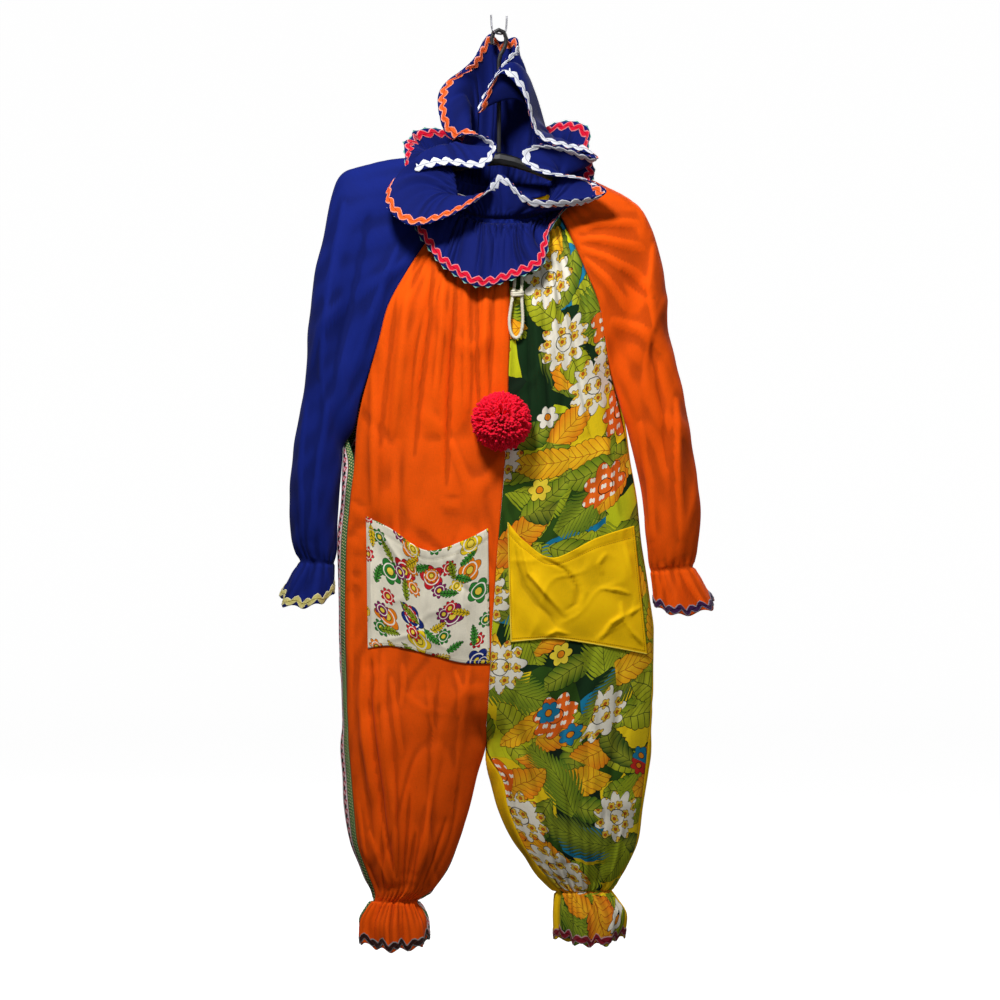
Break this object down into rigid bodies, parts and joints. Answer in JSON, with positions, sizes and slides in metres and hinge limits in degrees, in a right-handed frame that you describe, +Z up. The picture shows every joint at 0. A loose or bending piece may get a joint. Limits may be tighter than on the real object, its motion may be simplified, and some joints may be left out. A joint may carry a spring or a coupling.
{
  "type": "clown jumpsuit on a hanger",
  "caption": "One-piece clown suit in bright mixed cottons with raglan sleeves, neck ruffles, patch pockets, a yarn pompom and frilled cuffs, on a plastic hanger.",
  "frame": {"origin": "where the bent wire that carries the hanger is held, midway between its two ends", "axes": "+Z up, the front of the suit faces -Y, the wearer's right is -X"},
  "size_m": [0.7249, 0.2023, 1.546],
  "materials": {
    "orange_cotton": "plain woven cotton, matt",
    "print_cotton": "printed cotton, matt",
    "calico": "small-print cotton, matt",
    "yellow_cotton": "plain woven cotton, matt",
    "blue_cotton": "plain woven cotton, matt",
    "white_cotton": "printed cotton, matt",
    "red_braid": "woven braid",
    "cream_braid": "woven braid",
    "purple_braid": "woven braid",
    "brown_braid": "woven braid",
    "wine_braid": "woven braid",
    "red_yarn": "wool-like yarn",
    "cream_cord": "cotton cord",
    "black_plastic": "moulded, semi-gloss",
    "grey_wire": "drawn wire"
  },
  "bodies": {
    "root": {"front_right": "orange_cotton", "front_left": "print_cotton", "back_right": "calico", "back_left": "yellow_cotton", "sleeve_right": "blue_cotton", "sleeve_left": "orange_cotton", "neck_casing": "blue_cotton", "ruffle_upper": "blue_cotton", "ruffle_lower": "blue_cotton", "rickrack_lower": "red_braid", "rickrack_wrist_right": "cream_braid", "rickrack_wrist_left": "purple_braid", "rickrack_ankle_right": "brown_braid", "rickrack_ankle_left": "wine_braid", "pocket_right": "white_cotton", "pocket_left": "yellow_cotton", "pompom": "red_yarn", "drawstring": "cream_cord", "hanger_body": "black_plastic", "hanger_hook": "black_plastic", "hanging_wire": "grey_wire"}
  },
  "joints": []
}
